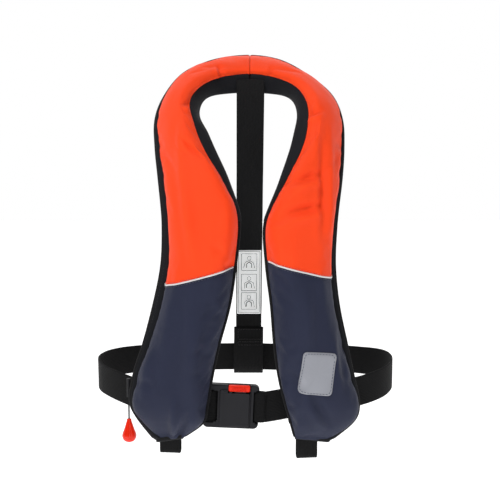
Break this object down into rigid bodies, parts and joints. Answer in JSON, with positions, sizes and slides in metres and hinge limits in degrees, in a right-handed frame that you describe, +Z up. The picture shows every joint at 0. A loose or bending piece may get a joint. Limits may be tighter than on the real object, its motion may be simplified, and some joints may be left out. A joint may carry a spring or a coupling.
{
  "type": "inflatable life jacket",
  "caption": "Packed automatic inflatable life jacket with a horseshoe collar, orange shoulders, navy lower lobes, black waist belt with a quick-release buckle and a pull toggle.",
  "frame": {"origin": "where the lining of the collar rests on the nape of the wearer's neck", "axes": "+X to the wearer's left, +Y to the wearer's back, +Z up along the wearer's spine"},
  "size_m": [0.5064, 0.2952, 0.6632],
  "materials": {
    "orange_cloth": "matt coated nylon cloth",
    "navy_cloth": "matt coated nylon cloth",
    "black_lining": "matt spacer mesh and binding tape",
    "black_webbing": "woven polyester webbing",
    "reflective_trim": "retroreflective piping",
    "label_film": "silver printed label",
    "hook_and_loop": "hook and loop tape",
    "coated_bladder": "polyurethane coated cloth",
    "buckle_plastic": "satin moulded acetal",
    "red_plastic": "gloss moulded plastic",
    "black_plastic": "moulded nylon",
    "yellow_plastic": "moulded nylon",
    "white_plastic": "moulded plastic",
    "orange_plastic": "moulded plastic",
    "rubber_tube": "moulded tube",
    "spring_steel": "stainless wire and sheet",
    "cylinder_steel": "zinc plated steel",
    "clear_lens": "clear moulded lens"
  },
  "bodies": {
    "jacket": {"back_strap": "black_webbing", "belt_keeper_left": "black_webbing", "belt_keeper_right": "black_webbing", "bladder": "coated_bladder", "buckle_front_panel": "buckle_plastic", "buckle_housing": "buckle_plastic", "button_spring": "spring_steel", "closure_hook_tape_left": "hook_and_loop", "closure_hook_tape_right": "hook_and_loop", "closure_loop_tape_left": "hook_and_loop", "closure_loop_tape_right": "hook_and_loop", "co2_cylinder": "cylinder_steel", "cord_sleeve": "black_webbing", "cover_navy_left": "navy_cloth", "cover_navy_right": "navy_cloth", "cover_orange_left": "orange_cloth", "cover_orange_right": "orange_cloth", "crotch_strap_loop_left": "black_webbing", "crotch_strap_loop_right": "black_webbing", "edge_binding_left": "black_lining", "edge_binding_right": "black_lining", "inflator_body": "black_plastic", "instruction_label": "label_film", "lever_pivot": "spring_steel", "light_battery": "black_plastic", "light_cable": "black_plastic", "light_lamp": "clear_lens", "lining_collar": "black_lining", "lining_left_lobe": "black_lining", "lining_right_lobe": "black_lining", "neck_gusset_left": "black_lining", "neck_gusset_right": "black_lining", "oral_tube": "rubber_tube", "pin_spring": "spring_steel", "reflective_piping_left": "reflective_trim", "reflective_piping_right": "reflective_trim", "sensor_cap": "yellow_plastic", "waist_belt": "black_webbing", "water_sensing_bobbin": "white_plastic", "whistle": "orange_plastic"},
    "button": {"release_button": "red_plastic", "latch_plate": "spring_steel"},
    "buckle_male": {"buckle_tongue": "buckle_plastic", "belt_front_end": "black_webbing"},
    "pull_cord": {"pull_cord_upper": "black_webbing"},
    "toggle": {"pull_cord_lower": "black_webbing", "pull_toggle": "red_plastic"},
    "lever": {"manual_lever": "black_plastic"},
    "pin": {"piercing_pin": "spring_steel"},
    "valve": {"oral_valve": "white_plastic"},
    "cap": {"tube_cap": "black_plastic"}
  },
  "joints": [
    {"name": "release_press", "type": "slide", "parent": "jacket", "child": "button", "axis": [-0.0436, 0, -0.999], "range_m": [0, 0.004], "stiffness_N_per_m": 700, "springref_m": -0.003, "deforming": ["button_spring"]},
    {"name": "buckle_open", "type": "slide", "parent": "jacket", "child": "buckle_male", "axis": [0.999, 0, -0.0436], "range_m": [0, 0.03]},
    {"name": "cord_pull", "type": "slide", "parent": "jacket", "child": "pull_cord", "axis": [0, 0, -1], "range_m": [0, 0.025]},
    {"name": "toggle_swing", "type": "hinge", "parent": "pull_cord", "child": "toggle", "pos_m": [-0.195, -0.129, -0.492], "axis": [0, 1, 0], "range_deg": [-4, 60]},
    {"name": "lever_turn", "type": "hinge", "parent": "jacket", "child": "lever", "pos_m": [-0.15065, -0.16281, -0.4587], "axis": [-0.1979, -0.9783, 0.0612], "range_deg": [0, 70.1]},
    {"name": "pin_stroke", "type": "slide", "parent": "jacket", "child": "pin", "axis": [0.2199, 0.0165, 0.9754], "range_m": [0, 0.0051], "deforming": ["pin_spring"]},
    {"name": "cap_pull", "type": "slide", "parent": "jacket", "child": "cap", "axis": [-0.1325, 0.0269, 0.9908], "range_m": [0, 0.02]},
    {"name": "valve_press", "type": "slide", "parent": "jacket", "child": "valve", "axis": [0.1325, -0.0269, -0.9908], "range_m": [0, 0.003], "stiffness_N_per_m": 300, "springref_m": -0.002}
  ],
  "couplings": [
    {"joint": "lever_turn", "follows": "cord_pull", "rad_per_m": 48.87},
    {"joint": "pin_stroke", "follows": "cord_pull", "ratio": 0.2}
  ]
}
